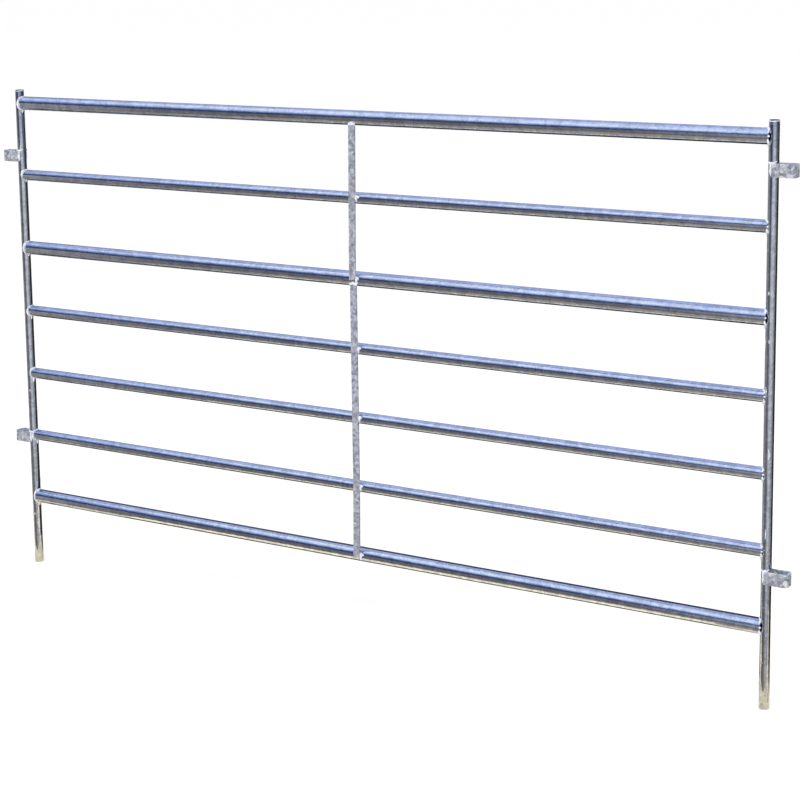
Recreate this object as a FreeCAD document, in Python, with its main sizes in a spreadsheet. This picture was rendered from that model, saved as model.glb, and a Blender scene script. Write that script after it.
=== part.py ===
"""Sheep hurdle: a seven-rail galvanised panel with two post legs, four pin loops and a flat-bar stay.

X runs along the panel, the stay is on the -Y side and Z is up. The origin lies midway between the
posts, on the plane of their axes, level with the lower ends of the legs. Millimetres.
"""
import FreeCAD, Part
import os

import Sketcher
from FreeCAD import Placement, Rotation, Vector

doc = FreeCAD.newDocument("Hurdle")

# ---------------------------------------------------------------------------
# Driving dimensions
# ---------------------------------------------------------------------------

DIMENSIONS = [
    ("post_spacing", 1830, "between the two post axes"),
    ("post_diameter", 20, "outside of the post tube"),
    ("post_wall", 2.5, "wall of the post tube"),
    ("post_stub", 30.5, "post above the axis of the top rail"),
    ("leg_length", 162, "post below the axis of the bottom rail"),
    ("top_pitch", 166, "between the axes of rails 1 and 2"),
    ("second_pitch", 170, "between the axes of rails 2 and 3"),
    ("lower_pitch", 149, "between the axes of rails 3, 4, 5, 6 and 7"),
    ("large_rail", 31, "outside of rails 1, 3 and 7"),
    ("small_rail", 24.5, "outside of rails 2, 4, 5 and 6"),
    ("rail_wall", 2, "wall of every rail"),
    ("end_setback", 6, "post axis to the side walls of a rail's notched end"),
    ("loop_height", 25, "width of the strip a loop is bent from"),
    ("loop_thickness", 5, "thickness of that strip"),
    ("loop_reach", 47, "post axis to the outer end of a loop"),
    ("loop_corner", 9, "outside radius of a loop's two bends"),
    ("right_upper_drop", 61, "right upper loop below the axis of the top rail"),
    ("left_upper_drop", 122, "left upper loop below the axis of the top rail"),
    ("right_lower_rise", 99, "right lower loop above the axis of the bottom rail"),
    ("left_lower_rise", 144, "left lower loop above the axis of the bottom rail"),
    ("stay_width", 15, "width of the flat-bar stay"),
    ("stay_thickness", 5, "thickness of the flat-bar stay"),
    ("stay_shift", 4, "stay centre line to the right of mid span"),
    ("upper_stay_tail", 1, "end of the upper stay below the axis of rail 3"),
    ("lower_stay_tail", 5, "end of the lower stay below the axis of rail 7"),
    ("rail_bead", 3.5, "radius of the weld bead round a post at a rail's end"),
    ("stay_bead", 4.5, "radius of the half-round weld beside the stay"),
    ("stay_bead_rise", 1.5, "centre of that weld above the rail's axis"),
    ("cap_bead", 4, "radius of the weld across the top end of a stay"),
    ("loop_bead", 4, "radius of the half-round weld on top of a loop's leg"),
]

sheet = doc.addObject("Spreadsheet::Sheet", "Dimensions")
for row, (alias, value, meaning) in enumerate(DIMENSIONS, start=1):
    sheet.set(f"A{row}", str(value))
    sheet.setAlias(f"A{row}", alias)
    sheet.set(f"B{row}", meaning)
doc.recompute()


def size(text):
    """An expression in which $name stands for that cell of the sheet."""
    return text.replace("$", "<<Dimensions>>.")


# Heights of the rail axes above the leg ends, from the top rail down.
BOTTOM = "$leg_length"
RAIL_HEIGHTS = [
    f"({BOTTOM} + 4 * $lower_pitch + $second_pitch + $top_pitch)",
    f"({BOTTOM} + 4 * $lower_pitch + $second_pitch)",
]
RAIL_HEIGHTS += [f"({BOTTOM} + {4 - i} * $lower_pitch)" for i in range(5)]
RAIL_SIZES = ["$large_rail", "$small_rail", "$large_rail"] + ["$small_rail"] * 3 + ["$large_rail"]
RAIL_NAMES = ["top_rail", "rail_two", "rail_three", "rail_four", "rail_five", "rail_six", "bottom_rail"]
TOP = RAIL_HEIGHTS[0]
ENDS = {"left": -1, "right": 1}

sub_parts = []


# ---------------------------------------------------------------------------
# Ways of making a piece
# ---------------------------------------------------------------------------

def new_body(label):
    """An empty PartDesign body that will be written out as one sub-part."""
    body = doc.addObject("PartDesign::Body", label)
    body.Label = label
    sub_parts.append(body)
    return body


def new_sketch(body, name, plane):
    """A sketch on one of the body's own origin planes."""
    sketch = body.newObject("Sketcher::SketchObject", name)
    support = next(item for item in body.Origin.OriginFeatures if item.Role == plane)
    sketch.AttachmentSupport = [(support, "")]
    sketch.MapMode = "FlatFace"
    return sketch


def drive(sketch, constraint, name, expression):
    """Add a constraint to the sketch and bind it to the sheet."""
    index = sketch.addConstraint(constraint)
    sketch.renameConstraint(index, name)
    sketch.setExpression(f"Constraints.{name}", size(expression))


def ring(sketch, name, diameter):
    """A circle centred on the sketch's origin."""
    circle = sketch.addGeometry(Part.Circle(Vector(0, 0, 0), Vector(0, 0, 1), 5), False)
    sketch.addConstraint(Sketcher.Constraint("Coincident", circle, 3, -1, 1))
    drive(sketch, Sketcher.Constraint("Diameter", circle, 10), name, diameter)


def pad(body, sketch, name, length, both_ways=True):
    """A pad of the sketch, either way from its plane or all on its normal's side."""
    feature = body.newObject("PartDesign::Pad", name)
    feature.Profile = sketch
    feature.SideType = "Symmetric" if both_ways else "One side"
    feature.setExpression("Length", size(length))
    body.Tip = feature


def pocket_through(body, sketch, name):
    """A pocket of the sketch through the whole body, both ways from its plane."""
    feature = body.newObject("PartDesign::Pocket", name)
    feature.Profile = sketch
    feature.SideType = "Symmetric"
    feature.Type = "ThroughAll"
    body.Tip = feature


def place(item, x="0", y="0", z="0"):
    """Bind the item's position to the sheet."""
    for axis, expression in zip("xyz", (x, y, z)):
        item.setExpression(f"Placement.Base.{axis}", size(expression))


# ---------------------------------------------------------------------------
# Posts: round tubes, open at both ends, whose lower ends are the legs
# ---------------------------------------------------------------------------

def make_post(side, direction):
    body = new_body(f"{side}_post")
    section = new_sketch(body, f"{side}_post_section", "XY_Plane")
    ring(section, "outside", "$post_diameter")
    ring(section, "bore", "$post_diameter - 2 * $post_wall")
    pad(body, section, f"{side}_post_tube", f"{TOP} + $post_stub", both_ways=False)
    place(body, x=f"{direction} * $post_spacing / 2")


for side, direction in ENDS.items():
    make_post(side, direction)


# ---------------------------------------------------------------------------
# Rails: round tubes with ends notched to the posts
# ---------------------------------------------------------------------------

def make_rail(name, diameter, height):
    body = new_body(name)
    section = new_sketch(body, f"{name}_section", "YZ_Plane")
    ring(section, "outside", diameter)
    ring(section, "bore", f"{diameter} - 2 * $rail_wall")
    pad(body, section, f"{name}_tube", "$post_spacing - 2 * $end_setback")

    notches = new_sketch(body, f"{name}_notches", "XY_Plane")
    for side, direction in ENDS.items():
        start = Vector(900 * direction, 0, 0)
        notch = notches.addGeometry(Part.Circle(start, Vector(0, 0, 1), 10), False)
        notches.addConstraint(Sketcher.Constraint("PointOnObject", notch, 3, -1))
        drive(notches, Sketcher.Constraint("Diameter", notch, 20), f"{side}_notch", "$post_diameter")
        centres = (-1, 1, notch, 3) if direction > 0 else (notch, 3, -1, 1)
        along = Sketcher.Constraint("DistanceX", *centres, 900)
        drive(notches, along, f"{side}_post_axis", "$post_spacing / 2")
    pocket_through(body, notches, f"{name}_ends")
    place(body, z=height)


for name, diameter, height in zip(RAIL_NAMES, RAIL_SIZES, RAIL_HEIGHTS):
    make_rail(name, diameter, height)


# ---------------------------------------------------------------------------
# Loops: strips bent twice round a pin's path and welded to the front and back of a post
# ---------------------------------------------------------------------------

LOOP_HEIGHTS = {
    "right_upper_loop": f"({TOP} - $right_upper_drop)",
    "left_upper_loop": f"({TOP} - $left_upper_drop)",
    "right_lower_loop": f"({BOTTOM} + $right_lower_rise)",
    "left_lower_loop": f"({BOTTOM} + $left_lower_rise)",
}


def loop_outline(sketch, half_width, reach, corner):
    """A closed outline from the post axis outward, with a flat end between round corners."""
    side, end, radius = 15, 47, 5

    def line(x1, y1, x2, y2):
        return sketch.addGeometry(Part.LineSegment(Vector(x1, y1, 0), Vector(x2, y2, 0)), False)

    def quarter(y, start):
        circle = Part.Circle(Vector(end - radius, y, 0), Vector(0, 0, 1), radius)
        return sketch.addGeometry(Part.ArcOfCircle(circle, start, start + 1.5708), False)

    low = line(0, -side, end - radius, -side)
    low_corner = quarter(radius - side, -1.5708)
    flat = line(end, radius - side, end, side - radius)
    high_corner = quarter(side - radius, 0)
    high = line(end - radius, side, 0, side)
    back = line(0, side, 0, -side)
    for constraint in (
        Sketcher.Constraint("Tangent", low, 2, low_corner, 1),
        Sketcher.Constraint("Tangent", low_corner, 2, flat, 1),
        Sketcher.Constraint("Tangent", flat, 2, high_corner, 1),
        Sketcher.Constraint("Tangent", high_corner, 2, high, 1),
        Sketcher.Constraint("Coincident", high, 2, back, 1),
        Sketcher.Constraint("Coincident", back, 2, low, 1),
        Sketcher.Constraint("Horizontal", low),
        Sketcher.Constraint("Horizontal", high),
        Sketcher.Constraint("Vertical", flat),
        Sketcher.Constraint("PointOnObject", back, 1, -2),
        Sketcher.Constraint("Symmetric", back, 1, back, 2, -1),
        Sketcher.Constraint("Equal", low_corner, high_corner),
    ):
        sketch.addConstraint(constraint)
    drive(sketch, Sketcher.Constraint("DistanceY", back, 2, back, 1, 2 * side), "width", f"2 * {half_width}")
    drive(sketch, Sketcher.Constraint("DistanceX", back, 2, flat, 1, end), "reach", reach)
    drive(sketch, Sketcher.Constraint("Radius", low_corner, radius), "corner", corner)


def make_loop(name, height):
    body = new_body(name)
    outer = new_sketch(body, f"{name}_outside", "XY_Plane")
    loop_outline(outer, "($post_diameter / 2 + $loop_thickness)", "$loop_reach", "$loop_corner")
    pad(body, outer, f"{name}_blank", "$loop_height")
    inner = new_sketch(body, f"{name}_inside", "XY_Plane")
    loop_outline(inner, "($post_diameter / 2)", "$loop_reach - $loop_thickness",
                 "$loop_corner - $loop_thickness")
    pocket_through(body, inner, f"{name}_opening")
    direction = ENDS[name.split("_")[0]]
    if direction < 0:
        body.Placement = Placement(Vector(0, 0, 0), Rotation(Vector(0, 0, 1), 180))
    place(body, x=f"{direction} * $post_spacing / 2", z=height)


for name, height in LOOP_HEIGHTS.items():
    make_loop(name, height)


# ---------------------------------------------------------------------------
# Stay: a flat bar in two lengths down the front of the rails, ends under rails 1 and 3
# ---------------------------------------------------------------------------

STEP_OUT = "(($large_rail - $small_rail) / 2)"
LARGE_FRONT = "($large_rail / 2)"
SMALL_FRONT = "($small_rail / 2)"


def leaning_line(pitch):
    """Sine and cosine of a bar that touches a small rail and the large rail below it."""
    sine = f"({STEP_OUT} / {pitch})"
    return sine, f"sqrt(1 - {sine} ^ 2)"


def bar_outline(sketch, corners):
    """A closed outline through corners given as expressions for Y and Z."""
    count = len(corners)
    first_guess = [Vector(-12 - 5 * (k >= count // 2), 500 - 400 * (k % 2), 0) for k in range(count)]
    edges = []
    for k, start in enumerate(first_guess):
        edge = Part.LineSegment(start, first_guess[(k + 1) % count])
        edges.append(sketch.addGeometry(edge, False))
    for k, edge in enumerate(edges):
        sketch.addConstraint(Sketcher.Constraint("Coincident", edge, 2, edges[(k + 1) % count], 1))
    for k, (depth, height) in enumerate(corners):
        across = Sketcher.Constraint("DistanceX", edges[k], 1, -1, 1, 12)
        drive(sketch, across, f"depth_{k}", depth)
        upward = Sketcher.Constraint("DistanceY", -1, 1, edges[k], 1, 100)
        drive(sketch, upward, f"height_{k}", height)


def make_stay(name, corners):
    body = new_body(name)
    side = new_sketch(body, f"{name}_side", "YZ_Plane")
    bar_outline(side, corners)
    pad(body, side, f"{name}_bar", "$stay_width")
    place(body, x="$stay_shift")
    return body


def bar_front(corner, lean):
    """The corner on the front face of a leaning bar, square to a corner on its back face."""
    depth, height = corner
    sine, cosine = lean
    return f"{depth} + $stay_thickness * {cosine}", f"{height} + $stay_thickness * {sine}"


def tail(lean, axis_height, length):
    """The lower back corner of a bar that leans out on to a large rail and ends below its axis."""
    sine, cosine = lean
    return f"({LARGE_FRONT} + {length} * {sine}) / {cosine}", f"{axis_height} - {length}"


# The upper length leans out from rail 2 to rail 3; its top corner meets the underside of rail 1.
upper_lean = leaning_line("$second_pitch")
sine, cosine = upper_lean
reach_in = f"({SMALL_FRONT} - $top_pitch * {sine})"
under_rail = f"sqrt({LARGE_FRONT} ^ 2 - {reach_in} ^ 2)"
upper_top = (f"{reach_in} * {cosine} + {under_rail} * {sine}",
             f"{TOP} + {reach_in} * {sine} - {under_rail} * {cosine}")
upper_end = tail(upper_lean, RAIL_HEIGHTS[2], "$upper_stay_tail")
upper_front = bar_front(upper_top, upper_lean)
upper_stay = make_stay("upper_stay", [upper_top, upper_end, bar_front(upper_end, upper_lean), upper_front])

# The lower length is upright on rails 4 to 6 and set out a little to reach rail 7.
lower_lean = leaning_line("$lower_pitch")
half_turn = f"(1 - {lower_lean[1]}) / {lower_lean[0]}"
lower_top = (SMALL_FRONT, f"{RAIL_HEIGHTS[2]} - sqrt({LARGE_FRONT} ^ 2 - {SMALL_FRONT} ^ 2)")
set_back = (SMALL_FRONT, f"{RAIL_HEIGHTS[5]} + {SMALL_FRONT} * {half_turn}")
set_front = (f"{SMALL_FRONT} + $stay_thickness",
             f"{RAIL_HEIGHTS[5]} + ({SMALL_FRONT} + $stay_thickness) * {half_turn}")
lower_end = tail(lower_lean, RAIL_HEIGHTS[6], "$lower_stay_tail")
lower_front = (f"{SMALL_FRONT} + $stay_thickness", lower_top[1])
lower_corners = [lower_top, set_back, lower_end, bar_front(lower_end, lower_lean), set_front, lower_front]
lower_stay = make_stay("lower_stay", lower_corners)


# ---------------------------------------------------------------------------
# Weld beads: rounded deposits trimmed to the pieces that they join
# ---------------------------------------------------------------------------

def trimmed(bead, joined):
    """The bead less everything inside the pieces it joins, cut off in turn.

    Refine stays off: merging the faces of so small a remnant makes an invalid solid.
    """
    for piece in joined:
        cut = doc.addObject("Part::Cut", f"{bead.Label}_off")
        cut.Base = bead
        cut.Tool = piece
        cut.Refine = False
        bead = cut
    return bead


def make_welds(name, beads, joined):
    """One sub-part that holds each trimmed bead as a separate solid."""
    welds = doc.addObject("Part::Compound", name)
    welds.Links = [trimmed(bead, joined) for bead in beads]
    welds.Label = name
    sub_parts.append(welds)


def solid_rod(name, diameter, length, x, z, turned=False):
    """A full round bar in the place of a tube, so that no weld is left in its bore."""
    rod = doc.addObject("Part::Cylinder", name)
    rod.setExpression("Radius", size(f"{diameter} / 2"))
    rod.setExpression("Height", size(length))
    if turned:
        rod.Placement = Placement(Vector(0, 0, 0), Rotation(Vector(0, 1, 0), 90))
    place(rod, x=x, z=z)
    return rod


post_rods = doc.addObject("Part::Compound", "post_rods")
post_rods.Links = [
    solid_rod(f"{side}_post_rod", "$post_diameter", f"{TOP} + $post_stub",
              f"{direction} * $post_spacing / 2", "0")
    for side, direction in ENDS.items()
]
rail_rods = doc.addObject("Part::Compound", "rail_rods")
rail_rods.Links = [
    solid_rod(f"{name}_rod", diameter, "$post_spacing - 2 * $end_setback",
              "$end_setback - $post_spacing / 2", height, turned=True)
    for name, diameter, height in zip(RAIL_NAMES, RAIL_SIZES, RAIL_HEIGHTS)
]

BEAD_SWEEP = 130


def rail_end_bead(name, direction, level):
    """A bead part of the way round a post, above or below a rail's end."""
    bead = doc.addObject("Part::Torus", name)
    bead.setExpression("Radius1", size("$post_diameter / 2"))
    bead.setExpression("Radius2", size("$rail_bead"))
    bead.Angle3 = BEAD_SWEEP
    facing_rail = 180 if direction > 0 else 0
    bead.Placement = Placement(Vector(0, 0, 0), Rotation(Vector(0, 0, 1), facing_rail - BEAD_SWEEP / 2))
    place(bead, x=f"{direction} * $post_spacing / 2", z=level)
    return bead


for index, name in enumerate(RAIL_NAMES):
    beads = []
    for side, direction in ENDS.items():
        for place_name, sign in (("over", "+"), ("under", "-")):
            level = f"{RAIL_HEIGHTS[index]} {sign} ({RAIL_SIZES[index]} / 2 - $rail_bead / 3)"
            beads.append(rail_end_bead(f"{name}_{side}_{place_name}", direction, level))
    make_welds(f"{name}_welds", beads, [post_rods, rail_rods])


def half_round_bead(name, radius, flat_side, x, y, z):
    """Half a ball of weld whose flat side faces left or down."""
    bead = doc.addObject("Part::Sphere", name)
    bead.setExpression("Radius", size(radius))
    if flat_side == "down":
        bead.Angle1 = 0
    else:
        bead.Angle3 = 180
        bead.Placement = Placement(Vector(0, 0, 0), Rotation(Vector(0, 0, 1), -90))
    place(bead, x=x, y=y, z=z)
    return bead


def stay_welds(stay, top_front, crossings):
    """Blobs on the right of the stay at its crossings, and a bead across its top end."""
    beads = []
    for index in crossings:
        name = f"{stay.Label}_on_{RAIL_NAMES[index]}"
        right_edge = "$stay_shift + $stay_width / 2"
        rail_front = f"-{RAIL_SIZES[index]} / 2"
        height = f"{RAIL_HEIGHTS[index]} + $stay_bead_rise"
        beads.append(half_round_bead(name, "$stay_bead", "left", right_edge, rail_front, height))
    depth, height = top_front
    cap = solid_rod(f"{stay.Label}_cap", "2 * $cap_bead", "$stay_width", "$stay_shift - $stay_width / 2",
                    f"{height} + $cap_bead / 4", turned=True)
    cap.setExpression("Placement.Base.y", size(f"-({depth} - $cap_bead / 4)"))
    make_welds(f"{stay.Label}_welds", beads + [trimmed(cap, [stay])], [rail_rods])


stay_welds(upper_stay, upper_front, [1, 2])
stay_welds(lower_stay, lower_front, [3, 4, 5, 6])

for name in LOOP_HEIGHTS:
    direction = ENDS[name.split("_")[0]]
    past_post = f"{direction} * ($post_spacing / 2 + $loop_bead)"
    top_edge = f"{LOOP_HEIGHTS[name]} + $loop_height / 2"
    middle = "($post_diameter / 2 + $loop_thickness / 2)"
    beads = [
        half_round_bead(f"{name}_{face}", "$loop_bead", "down", past_post, f"{sign}{middle}", top_edge)
        for face, sign in (("front", "-"), ("back", ""))
    ]
    make_welds(f"{name}_welds", beads, [post_rods])


# ---------------------------------------------------------------------------
# Check every object, then write each sub-part
# ---------------------------------------------------------------------------

doc.recompute()
for item in doc.Objects:
    if {"Invalid", "Error"} & set(item.State):
        raise RuntimeError(f"{item.Label} failed to compute: {item.State}")
os.makedirs("parts", exist_ok=True)
for item in sub_parts:
    if item.Shape.isNull() or not item.Shape.isValid() or not item.Shape.Solids:
        raise RuntimeError(f"{item.Label} has no valid solid")
for item in sub_parts:
    item.Shape.exportStep(f"parts/{item.Label}.step")
    print(f"{item.Label}: {len(item.Shape.Solids)} solids, {item.Shape.Volume:.0f} mm3")
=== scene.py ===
import math
import random

import bmesh
import bpy
from mathutils import Matrix, Vector, noise


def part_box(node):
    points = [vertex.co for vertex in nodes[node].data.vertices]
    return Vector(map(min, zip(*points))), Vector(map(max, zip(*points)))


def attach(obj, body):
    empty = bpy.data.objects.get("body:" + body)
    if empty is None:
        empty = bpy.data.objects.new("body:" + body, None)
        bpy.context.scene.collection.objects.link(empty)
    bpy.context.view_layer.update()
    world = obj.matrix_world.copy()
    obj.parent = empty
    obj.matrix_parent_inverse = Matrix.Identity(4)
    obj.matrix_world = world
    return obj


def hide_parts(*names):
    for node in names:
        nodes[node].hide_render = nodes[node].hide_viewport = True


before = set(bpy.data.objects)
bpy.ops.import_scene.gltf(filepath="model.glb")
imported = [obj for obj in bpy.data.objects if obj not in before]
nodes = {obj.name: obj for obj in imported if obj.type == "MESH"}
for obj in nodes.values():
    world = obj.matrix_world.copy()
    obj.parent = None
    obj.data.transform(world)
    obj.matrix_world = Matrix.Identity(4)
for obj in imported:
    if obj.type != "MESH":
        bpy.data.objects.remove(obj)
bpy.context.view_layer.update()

# A galvanised sheep hurdle: seven tube rails between two post legs, with pin loops and a flat-bar stay.
# X runs along the hurdle, the stay is on the -Y side and Z is up. Metres.
mm = 0.001

# ---------------------------------------------------------------------------
# Camera: a long lens at eye height, to the right of the hurdle and a little above its top rail.
# ---------------------------------------------------------------------------
lens = bpy.data.cameras.new("camera")
lens.sensor_width = 36
lens.lens = 89.06
lens.shift_y = -0.175
lens.dof.use_dof = False
camera = bpy.data.objects.new("camera", lens)
camera.location = (2.230, -3.409, 1.459)
camera.rotation_euler = (math.radians(80.75), 0, math.radians(31.88))
camera.rotation_euler.rotate_axis("Z", math.radians(-0.70))
bpy.context.scene.collection.objects.link(camera)
bpy.context.scene.camera = camera


# ---------------------------------------------------------------------------
# Rails: drawn steel tube, notched to the posts and hot-dipped after welding.
# Molten zinc runs off round tube evenly, so it sets glossy, with large faint crystals, slow waves
# along the tube and thin white smudges where the fresh zinc has begun to weather.
# ---------------------------------------------------------------------------
def linear(hex_colour):
    """The linear colour of an sRGB hex code."""
    channels = [int(hex_colour[i:i + 2], 16) / 255 for i in (1, 3, 5)]
    return [c / 12.92 if c <= 0.04045 else ((c + 0.055) / 1.055) ** 2.4 for c in channels] + [1]


def add(tree, kind, inputs, stops=(), **settings):
    """A node with its settings and ramp stops, whose inputs take a value or another node's output."""
    node = tree.nodes.new(kind)
    for name, value in settings.items():
        setattr(node, name, value)
    for count, (place, colour) in enumerate(stops):
        marks = node.color_ramp.elements
        mark = marks[count] if count < 2 else marks.new(place)
        mark.position, mark.color = place, linear(colour)
    for key, value in inputs.items():
        if isinstance(value, bpy.types.NodeSocket):
            tree.links.new(value, node.inputs[key])
        else:
            node.inputs[key].default_value = value
    return node


def zinc(name, colours, crystal, grain, metallic, roughness, wave, wave_height):
    """Hot-dip zinc: crystals and grain of the given mm over slow waves, whose mm are given for X, Y and Z."""
    finish = bpy.data.materials.new(name)
    finish.use_nodes = True
    tree = finish.node_tree
    shader = tree.nodes["Principled BSDF"]
    shader.inputs["Metallic"].default_value = metallic
    place = add(tree, "ShaderNodeTexCoord", {}).outputs["Object"]
    crystals = add(tree, "ShaderNodeTexVoronoi", {"Vector": place, "Scale": 1000 / crystal})
    tone = add(tree, "ShaderNodeSeparateColor", {"Color": crystals.outputs["Color"]}).outputs["Red"]
    mottle = add(tree, "ShaderNodeTexNoise", {"Vector": place, "Scale": 1000 / grain, "Detail": 5,
                                              "Roughness": 0.6}).outputs["Fac"]
    both = add(tree, "ShaderNodeMix", {0: 0.65, 2: tone, 3: mottle}, data_type="FLOAT").outputs[0]
    shade = add(tree, "ShaderNodeValToRGB", {"Fac": both}, stops=list(zip((0.25, 0.5, 0.75), colours)))
    gloss = add(tree, "ShaderNodeMapRange", {"Value": both, "From Min": 0.2, "From Max": 0.8,
                                             "To Min": roughness + 0.07, "To Max": roughness - 0.07})
    stretched = add(tree, "ShaderNodeMapping", {"Vector": place, "Scale": [1000 / size for size in wave]})
    waves = add(tree, "ShaderNodeTexNoise", {"Vector": stretched.outputs["Vector"], "Scale": 1,
                                             "Detail": 3, "Roughness": 0.55}).outputs["Fac"]
    rough_skin = add(tree, "ShaderNodeBump", {"Height": mottle, "Strength": 0.35,
                                              "Distance": 0.12 * mm}).outputs["Normal"]
    skin = add(tree, "ShaderNodeBump", {"Height": waves, "Strength": 1, "Distance": wave_height * mm,
                                        "Normal": rough_skin}).outputs["Normal"]
    tree.links.new(shade.outputs["Color"], shader.inputs["Base Color"])
    tree.links.new(gloss.outputs["Result"], shader.inputs["Roughness"])
    tree.links.new(skin, shader.inputs["Normal"])
    return finish, {"place": place, "stretched": stretched.outputs["Vector"],
                    "shade": shade.outputs["Color"], "gloss": gloss.outputs["Result"]}


def finished(name, shape, finish, slot, *replaced):
    """The bmesh as a smooth-shaded piece of the hurdle that stands for the CAD nodes named."""
    mesh = bpy.data.meshes.new(name)
    shape.to_mesh(mesh)
    shape.free()
    for face in mesh.polygons:
        face.use_smooth = True
    mesh.set_sharp_from_angle(angle=math.radians(40))
    mesh.materials.append(finish)
    piece = bpy.data.objects.new(name, mesh)
    bpy.context.scene.collection.objects.link(piece)
    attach(piece, "root")
    if replaced:
        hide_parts(*replaced)
    return piece


def drawn_tube(radius, wall, length):
    """An open-ended tube along Z from the origin, with a slightly rounded lip at both ends."""
    round_segments = 72
    lip = 0.45 * mm
    shape = bmesh.new()
    walls = []
    for size in (radius, radius - wall):
        ring = bmesh.ops.create_circle(shape, segments=round_segments, radius=size, cap_ends=False)["verts"]
        edges = list({edge for vert in ring for edge in vert.link_edges})
        far = bmesh.ops.extrude_edge_only(shape, edges=edges)["geom"]
        verts = [item for item in far if isinstance(item, bmesh.types.BMVert)]
        bmesh.ops.translate(shape, vec=(0, 0, length), verts=verts)
        walls.append((edges, [item for item in far if isinstance(item, bmesh.types.BMEdge)
                              and all(vert in verts for vert in item.verts)]))
    for end in (0, 1):
        bmesh.ops.bridge_loops(shape, edges=walls[0][end] + walls[1][end])
    bmesh.ops.recalc_face_normals(shape, faces=shape.faces)
    lips = [edge for edge in shape.edges if edge.calc_face_angle() > 1]
    bmesh.ops.bevel(shape, geom=lips, offset=lip, offset_type="OFFSET", segments=3,
                    affect="EDGES", profile=0.5, material=-1)
    return shape


# Glossy galvanised tube: it mirrors its surroundings in long bands, which slow waves of zinc drawn out
# along the tube fray at their edges. Crystals are 11 mm, and grain is coarser than the real 1 mm to show.
rail_finish, skin = zinc("glossy_galvanised_tube", ("#c6cad4", "#dfe2e9", "#f4f6fa"),
                         crystal=11, grain=3.5, metallic=1, roughness=0.075, wave=(14, 5, 5),
                         wave_height=0.27)
tree = rail_finish.node_tree
shader = tree.nodes["Principled BSDF"]
smudge = add(tree, "ShaderNodeTexNoise", {"Vector": skin["stretched"], "Scale": 1.3, "Detail": 5,
                                          "Roughness": 0.68, "Distortion": 0.4})
smudged = add(tree, "ShaderNodeMapRange", {"Value": smudge.outputs["Fac"], "From Min": 0.62, "From Max": 0.72,
                                           "To Max": 0.9}, interpolation_type="SMOOTHSTEP").outputs["Result"]
whitened = add(tree, "ShaderNodeMix", {0: smudged, 6: skin["shade"], 7: linear("#ffffff")},
               data_type="RGBA").outputs[2]
dulled = add(tree, "ShaderNodeMix", {0: smudged, 2: skin["gloss"], 3: 0.40}, data_type="FLOAT").outputs[0]
tree.links.new(whitened, shader.inputs["Base Color"])
tree.links.new(dulled, shader.inputs["Roughness"])

# The lowest rail has a narrow black line painted along its top, leaning a little to the back: a painted
# reflection band, fixed by angle round the tube.
painted_band_tube_finish = rail_finish.copy()
painted_band_tube_finish.name = "glossy_galvanised_tube_with_painted_reflection"
tree = painted_band_tube_finish.node_tree
shader = tree.nodes["Principled BSDF"]
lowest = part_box("bottom_rail")
lowest_radius = (lowest[1].z - lowest[0].z) / 2
band_lean = math.radians(8)
upward = Vector((0, math.sin(band_lean), math.cos(band_lean))) / lowest_radius
from_axis = add(tree, "ShaderNodeVectorMath", {
    0: add(tree, "ShaderNodeTexCoord", {}).outputs["Object"],
    1: (0, 0, (lowest[0].z + lowest[1].z) / 2)}, operation="SUBTRACT").outputs[0]
rise = add(tree, "ShaderNodeVectorMath", {0: from_axis, 1: upward}, operation="DOT_PRODUCT")
painted_band = add(tree, "ShaderNodeMapRange", {"Value": rise.outputs["Value"], "From Min": 0.88, "From Max": 0.92,
                                        "To Max": 0.95}, interpolation_type="SMOOTHSTEP").outputs["Result"]
unbanded = shader.inputs["Base Color"].links[0].from_socket
banded = add(tree, "ShaderNodeMix", {0: painted_band, 6: unbanded, 7: linear("#1b1d22")}, data_type="RGBA").outputs[2]
tree.links.new(banded, shader.inputs["Base Color"])

post_radius = 10 * mm
end_wall = 6 * mm
rail_wall = 2 * mm
post_places = {side: (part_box(f"{side}_post")[0].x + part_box(f"{side}_post")[1].x) / 2
               for side in ("left", "right")}
rails = ["top_rail", "rail_two", "rail_three", "rail_four", "rail_five", "rail_six", "bottom_rail"]
for rail in rails:
    low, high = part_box(rail)
    tube = drawn_tube((high.z - low.z) / 2, rail_wall, 1)
    bmesh.ops.rotate(tube, matrix=Matrix.Rotation(math.pi / 2, 3, "Y"), verts=tube.verts)
    for vert in tube.verts:
        # The end hollows to the post's curve, and stands end_wall from its axis above and below it.
        inset = max(math.sqrt(max(post_radius ** 2 - vert.co.y ** 2, 0)), end_wall)
        if vert.co.x > 0.5:
            vert.co.x = post_places["right"] - inset - (1 - vert.co.x)
        else:
            vert.co.x = post_places["left"] + inset + vert.co.x
    bmesh.ops.translate(tube, vec=(0, 0, (low.z + high.z) / 2), verts=tube.verts)
    # The lowest rail takes the finish with the painted reflection band along its top.
    finished(f"{rail}_tube", tube, painted_band_tube_finish if rail == "bottom_rail" else rail_finish,
             "galvanised_rail", rail)

# ---------------------------------------------------------------------------
# Posts: smaller round tube, open at both ends, hot-dipped upright so that the zinc drains down it.
# The zinc is duller than on the rails and carries small bright nibs and a few frozen runs.
# ---------------------------------------------------------------------------
post_wall = 2.5 * mm

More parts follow.
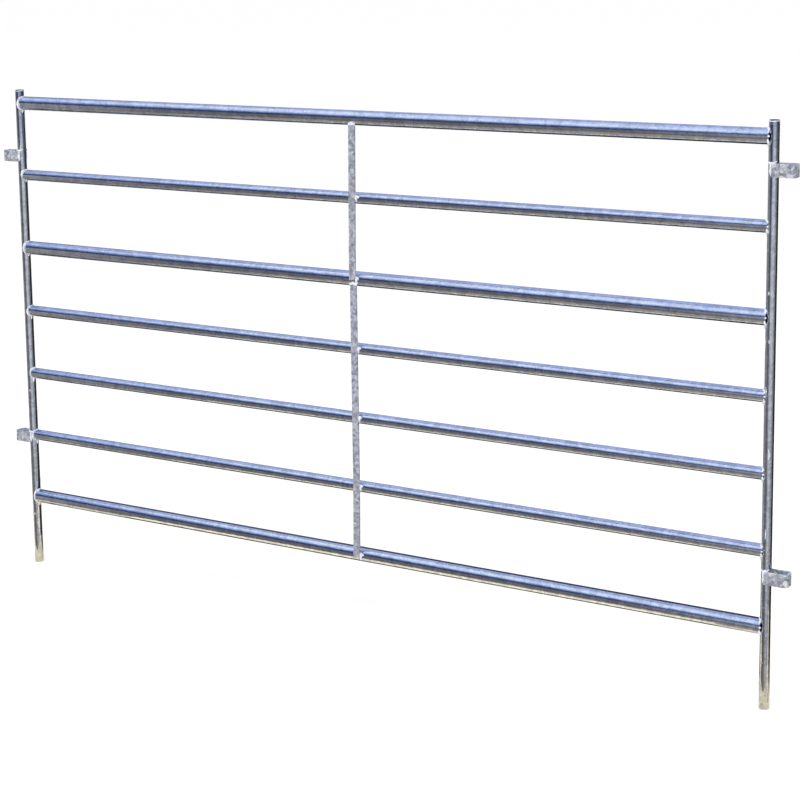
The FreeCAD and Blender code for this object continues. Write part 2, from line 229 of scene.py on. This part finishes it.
# Satin galvanised tube: softer bands than on the rails, in streaks down the post, with white nibs of
# zinc about 1.5 mm across.
post_finish, skin = zinc("satin_galvanised_post", ("#c0c1c4", "#dadbde", "#f1f2f4"),
                         crystal=8, grain=3, metallic=1, roughness=0.12, wave=(4, 4, 46), wave_height=0.16)
tree = post_finish.node_tree
shader = tree.nodes["Principled BSDF"]
streak = add(tree, "ShaderNodeTexNoise", {"Vector": skin["stretched"], "Scale": 1, "Detail": 3,
                                          "Roughness": 0.6}).outputs["Fac"]
streaked = add(tree, "ShaderNodeMapRange", {"Value": streak, "From Min": 0.5, "From Max": 0.72,
                                            "To Max": 0.5}, interpolation_type="SMOOTHSTEP")
nib = add(tree, "ShaderNodeTexVoronoi", {"Vector": skin["place"], "Scale": 1000 / 11}).outputs["Distance"]
nibbed = add(tree, "ShaderNodeMapRange", {"Value": nib, "From Min": 0.14, "From Max": 0.08, "To Max": 0.85},
             interpolation_type="SMOOTHSTEP").outputs["Result"]
drained = add(tree, "ShaderNodeMix", {0: streaked.outputs["Result"], 6: skin["shade"], 7: linear("#969aa4")},
              data_type="RGBA").outputs[2]
speckled = add(tree, "ShaderNodeMix", {0: nibbed, 6: drained, 7: linear("#ffffff")}, data_type="RGBA")
dulled = add(tree, "ShaderNodeMix", {0: nibbed, 2: skin["gloss"], 3: 0.5}, data_type="FLOAT")
tree.links.new(speckled.outputs[2], shader.inputs["Base Color"])
tree.links.new(dulled.outputs[0], shader.inputs["Roughness"])

# Pooled zinc: thick, rippled and painted almost white, on rims, runs and weld beads. The near-white is partly
# painted sheen, standing in for the strong light that the beads catch.
pooled_zinc_and_painted_sheen = zinc("near_white_zinc_with_painted_sheen", ("#ccd1dc", "#eef1f7", "#ffffff"), crystal=5, grain=2.5,
                   metallic=0.3, roughness=0.3, wave=(5, 5, 5), wave_height=0.35)[0]


def eased(node, radius):
    """A copy of a CAD node's shape with its sharp edges rounded over, as a zinc coat leaves them."""
    shape = bmesh.new()
    shape.from_mesh(nodes[node].data)
    bmesh.ops.remove_doubles(shape, verts=shape.verts, dist=1e-6)
    bmesh.ops.dissolve_limit(shape, angle_limit=math.radians(1), verts=shape.verts, edges=shape.edges)
    sharp = [edge for edge in shape.edges if edge.is_manifold and edge.calc_face_angle() > 0.7]
    bmesh.ops.bevel(shape, geom=sharp, offset=radius, offset_type="OFFSET", segments=3,
                    affect="EDGES", profile=0.5, material=-1, clamp_overlap=True)
    return shape


def lay(shape, line, radius, rings=24, lump=0.18, seed=0.0):
    """A rounded deposit along a line, given as a function of 0 to 1, in a rope of small waves."""
    ball = bmesh.ops.create_uvsphere(shape, u_segments=14, v_segments=rings, radius=1)["verts"]
    for vert in ball:
        share = math.acos(max(-1, min(1, vert.co.z))) / math.pi
        turn = math.atan2(vert.co.y, vert.co.x)
        here = line(share)
        ahead = (line(min(1, share + 0.02)) - line(max(0, share - 0.02))).normalized()
        side = ahead.cross(Vector((0.13, 0.37, 0.92))).normalized()
        out = side * math.cos(turn) + ahead.cross(side) * math.sin(turn)
        girth = radius(share) if callable(radius) else radius
        girth *= math.sin(math.pi * min(max(share, 0), 1)) ** 0.45 if 0 < share < 1 else 0
        uneven = noise.noise((here + out * girth) * 260 + Vector((seed, 0, 0)))
        vert.co = here + out * girth * (1 + lump * uneven)


for side, post_x in post_places.items():
    tube = drawn_tube(post_radius, post_wall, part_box(f"{side}_post")[1].z)
    bmesh.ops.translate(tube, vec=(post_x, 0, 0), verts=tube.verts)
    finished(f"{side}_post_tube", tube, post_finish, "galvanised_post", f"{side}_post")

# Frozen runs of zinc down the posts, and the ragged lip that it leaves round each open top. Both are
# set a little into the post's surface.
run_radius = post_radius - 0.1 * mm
lip_radius = post_radius - 0.3 * mm
draws = random.Random(7)
for side, post_x in post_places.items():
    runs = bmesh.new()
    top_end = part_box(f"{side}_post")[1].z
    for count in range(9):
        facing = math.radians(draws.uniform(-150, -20) if count % 3 else draws.uniform(20, 160))
        top, length = draws.uniform(0.06, 1.05), draws.uniform(5, 26) * mm
        wander = draws.uniform(-0.25, 0.25)

        def drained_run(share):
            angle = facing + wander * math.sin(3 * share)
            return Vector((post_x + run_radius * math.cos(angle), run_radius * math.sin(angle),
                           top - length * share))

        lay(runs, drained_run, lambda share: (0.55 + 0.75 * share) * mm, rings=16, seed=count)

    def round_the_top(share):
        angle = 2.2 * math.pi * share
        sag = (2.2 + 0.5 * math.sin(3 * angle)) * mm
        return Vector((post_x + lip_radius * math.cos(angle), lip_radius * math.sin(angle), top_end - sag))

    lay(runs, round_the_top, lambda share: (1.0 + 0.3 * math.sin(23 * share)) * mm, rings=90,
        seed=post_x)
    bmesh.ops.recalc_face_normals(runs, faces=runs.faces)
    finished(f"{side}_post_zinc_runs", runs, pooled_zinc_and_painted_sheen, "galvanised_post")

# ---------------------------------------------------------------------------
# Loops: hot-rolled strip bent square round a drop pin's path, one leg each side of the post.
# Flat strip holds a thicker and duller zinc coat, mottled grey, with its edges rounded over.
# ---------------------------------------------------------------------------
# Mottled galvanised strip: half matt, in patches of light and mid grey about 5 mm across.
strip_finish = zinc("mottled_galvanised_strip", ("#7a7e8b", "#c4c8d2", "#ffffff"), crystal=7, grain=5,
                    metallic=0.55, roughness=0.32, wave=(9, 9, 9), wave_height=0.3)[0]
loops = ["right_upper_loop", "right_lower_loop", "left_upper_loop", "left_lower_loop"]
for loop in loops:
    finished(f"{loop}_strip", eased(loop, 0.9 * mm), strip_finish, "galvanised_strip", loop)

# ---------------------------------------------------------------------------
# Stay: flat bar in two lengths down the front of the rails, which holds them apart at mid span.
# Its zinc is matt lavender grey, mottled, and stained brown above the second rail.
# ---------------------------------------------------------------------------
# Matt galvanised bar: clouded lavender grey with hardly a reflection.
bar_finish, skin = zinc("matt_galvanised_bar", ("#7b7d8a", "#adafbc", "#dadce6"), crystal=6, grain=6,
                        metallic=0.45, roughness=0.42, wave=(14, 14, 14), wave_height=0.2)
tree = bar_finish.node_tree
shader = tree.nodes["Principled BSDF"]
stain_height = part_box("rail_two")[1].z + 12 * mm
height = add(tree, "ShaderNodeSeparateXYZ", {"Vector": skin["place"]}).outputs["Z"]
above = add(tree, "ShaderNodeMapRange", {"Value": height, "From Min": stain_height - 20 * mm,
                                         "From Max": stain_height}, interpolation_type="SMOOTHSTEP")
below = add(tree, "ShaderNodeMapRange", {"Value": height, "From Min": stain_height + 25 * mm,
                                         "From Max": stain_height}, interpolation_type="SMOOTHSTEP")
patch = add(tree, "ShaderNodeTexNoise", {"Vector": skin["place"], "Scale": 1000 / 8, "Detail": 4})
patchy = add(tree, "ShaderNodeMapRange", {"Value": patch.outputs["Fac"], "From Min": 0.42, "From Max": 0.62,
                                          "To Max": 0.5}, interpolation_type="SMOOTHSTEP")
near = add(tree, "ShaderNodeMath", {0: above.outputs["Result"], 1: below.outputs["Result"]},
           operation="MULTIPLY")
stain = add(tree, "ShaderNodeMath", {0: near.outputs[0], 1: patchy.outputs["Result"]}, operation="MULTIPLY")
stained = add(tree, "ShaderNodeMix", {0: stain.outputs[0], 6: skin["shade"], 7: linear("#8a7462")},
              data_type="RGBA")
tree.links.new(stained.outputs[2], shader.inputs["Base Color"])
for stay in ("upper_stay", "lower_stay"):
    finished(f"{stay}_bar", eased(stay, 0.7 * mm), bar_finish, "galvanised_flat_bar", stay)

# ---------------------------------------------------------------------------
# Rail welds: a bead of weld metal runs round each notched end where it meets the post.
# Zinc fills the bead and hangs below it in a short run down the post; both are painted near white, partly as
# painted sheen.
# ---------------------------------------------------------------------------
draws = random.Random(11)
for number, rail in enumerate(rails):
    low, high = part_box(rail)
    centre, rail_radius = (low.z + high.z) / 2, (high.z - low.z) / 2
    beads = bmesh.new()
    for side, post_x in post_places.items():
        inward = 1 if side == "left" else -1

        def round_the_end(start, finish, set_in=0):
            """The line of the joint, by the angle up from the rail's front."""
            def line(share):
                angle = math.radians(start + (finish - start) * share)
                depth = -(rail_radius + 0.4 * mm) * math.cos(angle)
                depth = min(depth, rail_radius - 2.2 * mm)
                beside = math.sqrt(max(post_radius ** 2 - depth ** 2, end_wall ** 2))
                return Vector((post_x + inward * (beside + 0.7 * mm - set_in), depth,
                               centre + (rail_radius + 0.2 * mm) * math.sin(angle)))
            return line

        def lumps(size, unevenness, phase):
            """A bead's radius along its line, from its size in mm."""
            return lambda share: size * mm * (1 + unevenness * math.sin(9 * share + phase)
                                              + 0.07 * abs(math.sin(40 * share)))

        if side == "left":
            arcs = [(128, -128, 1.6, 0.5), (150, 172, 2.2, 0.22), (-150, -172, 2.2, 0.22)]
        else:
            arcs = [(29, 150, 2.3, 0.3), (-14, -150, 2.6, 0.3)]
            # A blob of weld part way up splits the dark mouth that the rail leaves beside the post.
            lay(beads, round_the_end(13, -2, 1.9 * mm), lambda share: 2.1 * mm, rings=28, seed=number)
        for start, finish, size, unevenness in arcs:
            lay(beads, round_the_end(start, finish), lumps(size, unevenness, draws.uniform(0, 6)),
                rings=64, seed=number + post_x)

        run = draws.uniform(7, 15) * mm
        lean = draws.uniform(-3, 3) * mm

        def hanging(share):
            return Vector((post_x + inward * (9.6 * mm - 1.2 * mm * share), lean - 3 * mm,
                           centre - rail_radius + 1.5 * mm - run * share))

        lay(beads, hanging, lambda share: (3.4 - 2.6 * share) * mm, rings=24, seed=number)
    bmesh.ops.recalc_face_normals(beads, faces=beads.faces)
    finished(f"{rail}_weld_beads", beads, pooled_zinc_and_painted_sheen, "zinc_coated_weld", f"{rail}_welds")

# ---------------------------------------------------------------------------
# Stay welds: an arched bead over each bar's top end, and a blob on its right edge at every rail.
# Each blob wets out along the rail, runs down the edge of the bar and ends in a small drop.
# ---------------------------------------------------------------------------
def stay_beads(stay, crossed):
    """The welds of one length of the stay, on the rails named and over its top end."""
    low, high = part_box(stay)
    middle, right = (low.x + high.x) / 2, high.x
    beads = bmesh.new()
    for rail in crossed:
        bottom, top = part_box(rail)
        centre, radius = (bottom.z + top.z) / 2, (top.z - bottom.z) / 2
        blob_length = draws.uniform(8, 11) * mm

        def along_rail(share):
            rise = (5 - 2.5 * share) * mm
            depth = math.sqrt(radius ** 2 - rise ** 2)
            return Vector((right - 1.5 * mm + blob_length * share, -depth - 1.2 * mm * (1 - share),
                           centre + rise))

        def down_edge(share):
            angle = math.radians(24 - 62 * share)
            return Vector((right + 0.6 * mm, -(radius + 0.8 * mm) * math.cos(angle),
                           centre + radius * math.sin(angle)))

        lay(beads, along_rail, lambda share: (4.0 - 2.2 * share) * mm, rings=28, seed=centre)
        lay(beads, down_edge, lambda share: (2.8 + 0.6 * math.sin(7 * share)) * mm, rings=28,
            seed=centre + 3)
    head = max((v.co for v in nodes[stay].data.vertices), key=lambda co: co.z)
    front = -max(-v.co.y for v in nodes[stay].data.vertices if v.co.z > high.z - 6 * mm)

    def over_the_end(share):
        across = 2 * share - 1
        return Vector((middle + 8.5 * mm * across, front + 1.2 * mm,
                       head.z + (2.4 - 5.5 * across * across + 0.9 * math.cos(9 * across)) * mm))

    lay(beads, over_the_end, lambda share: (3.2 + 0.5 * math.sin(11 * share)) * mm, rings=44, seed=head.z)
    bmesh.ops.recalc_face_normals(beads, faces=beads.faces)
    finished(f"{stay}_weld_beads", beads, pooled_zinc_and_painted_sheen, "zinc_coated_weld", f"{stay}_welds")


stay_beads("upper_stay", ["rail_two", "rail_three"])
stay_beads("lower_stay", ["rail_four", "rail_five", "rail_six", "bottom_rail"])

# ---------------------------------------------------------------------------
# Loop welds: each leg is welded to the post along its top edge and down its cut end.
# The top bead climbs at both sides, where it fills the groove between flat strip and round post.
# ---------------------------------------------------------------------------
across_post = 9 * mm
for loop in loops:
    side = loop.split("_")[0]
    post_x = post_places[side]
    inward = 1 if side == "left" else -1
    low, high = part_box(loop)
    beads = bmesh.new()
    for face in (-1, 1):
        def over_the_leg(share):
            across = 2 * share - 1
            return Vector((post_x + across_post * across,
                           face * (math.sqrt(post_radius ** 2 - (across_post * across) ** 2) + 1.4 * mm),
                           high.z + (0.2 + 3.6 * across * across + 0.5 * math.sin(14 * share)) * mm))

        def down_the_end(share):
            return Vector((post_x + inward * 1.2 * mm, face * 12.2 * mm,
                           high.z + 1 * mm - (high.z - low.z - 1 * mm) * share))

        lay(beads, over_the_leg, lambda share: (2.3 - 0.9 * abs(2 * share - 1)) * mm, rings=40,
            seed=high.z + face)
        lay(beads, down_the_end, lambda share: (2.5 + 0.4 * math.sin(12 * share)) * mm, rings=40,
            seed=low.z + face)
    bmesh.ops.recalc_face_normals(beads, faces=beads.faces)
    finished(f"{loop}_weld_beads", beads, pooled_zinc_and_painted_sheen, "zinc_coated_weld", f"{loop}_welds")

# ---------------------------------------------------------------------------
# Studio: a plain pale floor, one broad soft light, and a soft dome that the polished zinc reflects.
# The dome is pale blue above, darkest just above the horizon and grey-brown below.
# ---------------------------------------------------------------------------
floor_shape = bmesh.new()
bmesh.ops.create_grid(floor_shape, x_segments=2, y_segments=2, size=300)
floor_mesh = bpy.data.meshes.new("floor")
floor_shape.to_mesh(floor_mesh)
floor_shape.free()
floor = bpy.data.objects.new("floor", floor_mesh)
floor.location.z = -0.2 * mm
bpy.context.scene.collection.objects.link(floor)
floor.visible_glossy = False
floor_paint = bpy.data.materials.new("pale_matt_floor")
floor_paint.use_nodes = True
floor_paint.node_tree.nodes["Principled BSDF"].inputs["Base Color"].default_value = linear("#fbfbfb")
floor_paint.node_tree.nodes["Principled BSDF"].inputs["Roughness"].default_value = 0.9
floor_paint.node_tree.nodes["Principled BSDF"].inputs["Specular IOR Level"].default_value = 0
floor_mesh.materials.append(floor_paint)

# Low cream cards on the floor, seen only in reflections, warm the undersides of the lower rails and the
# sides of the legs: each one's middle in X and Y, its half sizes and its strength.
for card_name, middle_x, middle_y, half_x, half_y, glow in (
        ("rails_card", 0, -0.055, 0.785, 0.06, 1.3),
        ("left_leg_card", -1.045, 0, 0.26, 0.06, 0.95),
        ("right_leg_card", 1.045, 0, 0.26, 0.06, 0.95)):
    card_shape = bmesh.new()
    bmesh.ops.create_grid(card_shape, x_segments=1, y_segments=1, size=1)
    bmesh.ops.scale(card_shape, vec=(half_x, half_y, 1), verts=card_shape.verts)
    bmesh.ops.translate(card_shape, vec=(middle_x, middle_y, 0), verts=card_shape.verts)
    card_mesh = bpy.data.meshes.new(card_name)
    card_shape.to_mesh(card_mesh)
    card_shape.free()
    card = bpy.data.objects.new(card_name, card_mesh)
    bpy.context.scene.collection.objects.link(card)
    for seen_by in ("camera", "diffuse", "shadow", "transmission"):
        setattr(card, f"visible_{seen_by}", False)
    card_light = bpy.data.materials.new(f"{card_name}_glow")
    card_light.use_nodes = True
    shader = card_light.node_tree.nodes["Principled BSDF"]
    shader.inputs["Base Color"].default_value = (0, 0, 0, 1)
    shader.inputs["Emission Color"].default_value = linear("#eae0c4")
    shader.inputs["Emission Strength"].default_value = glow
    card_mesh.materials.append(card_light)

key = bpy.data.lights.new("soft_key", "AREA")
key.shape = "DISK"
key.size = 3
key.energy = 130
key_light = bpy.data.objects.new("soft_key", key)
key_light.location = (1.6, -3.8, 4.2)
key_light.rotation_euler = (Vector((0, 0, 0.5)) - key_light.location).to_track_quat("-Z", "Y").to_euler()
key_light.visible_glossy = False
bpy.context.scene.collection.objects.link(key_light)

world = bpy.data.worlds.new("soft_dome")
bpy.context.scene.world = world
world.use_nodes = True
tree = world.node_tree
tree.nodes.clear()
towards = add(tree, "ShaderNodeTexCoord", {}).outputs["Generated"]
parts = add(tree, "ShaderNodeSeparateXYZ", {"Vector": towards}).outputs
level = add(tree, "ShaderNodeMath", {0: parts["Z"], 1: 0.5, 2: 0.5}, operation="MULTIPLY_ADD").outputs[0]
dome = add(tree, "ShaderNodeValToRGB", {"Fac": level}, stops=[
    (0.08, "#989590"), (0.15, "#928f89"), (0.24, "#66625f"), (0.33, "#6e6d72"), (0.44, "#67676b"),
    (0.5, "#545868"), (0.56, "#333d5c"), (0.62, "#37436a"), (0.68, "#5d6e9e"), (0.74, "#8ea2d2"),
    (0.80, "#c3d4f8"), (0.88, "#dfebff"), (1.0, "#bccbf2")]).outputs["Color"]
# Cards and flags hung in the dome: the way that each faces, how near to it a reflection has to point
# before the card starts to show and shows in full, the same for its height, and its colour.
for card_way, start, full, start_height, full_height, colour in (
        ((0, 1, 0), -0.05, 0.45, 0.20, 0.35, "#a2b0dd"),
        ((1, 0, 0), 0.68, 0.85, 0.14, 0, "#8f8f92"),
        ((-1, 0, 0), 0.70, 0.85, 0.14, 0, "#8f8f92"),
        ((0.66, 0.75, 0), 0.75, 0.90, 0.14, 0, "#2a2624"),
        ((-0.6, 0.8, 0), 0.70, 0.99, 0.14, 0, "#b4bac6"),
        ((0, 1, 0), 0.12, 0.32, -0.30, -0.50, "#2a2624"),
        ((0.55, -0.835, 0), 0.62, 0.99, 0.30, 0.10, "#c4cad6")):
    nearness = add(tree, "ShaderNodeVectorMath", {0: towards, 1: card_way}, operation="DOT_PRODUCT")
    across = add(tree, "ShaderNodeMapRange", {"Value": nearness.outputs["Value"], "From Min": start,
                                              "From Max": full}, interpolation_type="SMOOTHSTEP")
    up = add(tree, "ShaderNodeMapRange", {"Value": parts["Z"], "From Min": start_height,
                                          "From Max": full_height}, interpolation_type="SMOOTHSTEP")
    share = add(tree, "ShaderNodeMath", {0: across.outputs["Result"], 1: up.outputs["Result"]},
                operation="MULTIPLY")
    dome = add(tree, "ShaderNodeMix", {0: share.outputs[0], 6: dome, 7: linear(colour)},
               data_type="RGBA").outputs[2]
reflected = add(tree, "ShaderNodeBackground", {"Color": dome, "Strength": 1.1})
plain = add(tree, "ShaderNodeBackground", {"Color": linear("#ffffff"), "Strength": 1.03})
rays = add(tree, "ShaderNodeLightPath", {})
surround = add(tree, "ShaderNodeMixShader", {0: rays.outputs["Is Glossy Ray"], 1: plain.outputs[0],
                                             2: reflected.outputs[0]})
add(tree, "ShaderNodeOutputWorld", {"Surface": surround.outputs[0]})
bpy.context.scene.view_settings.view_transform = "Standard"
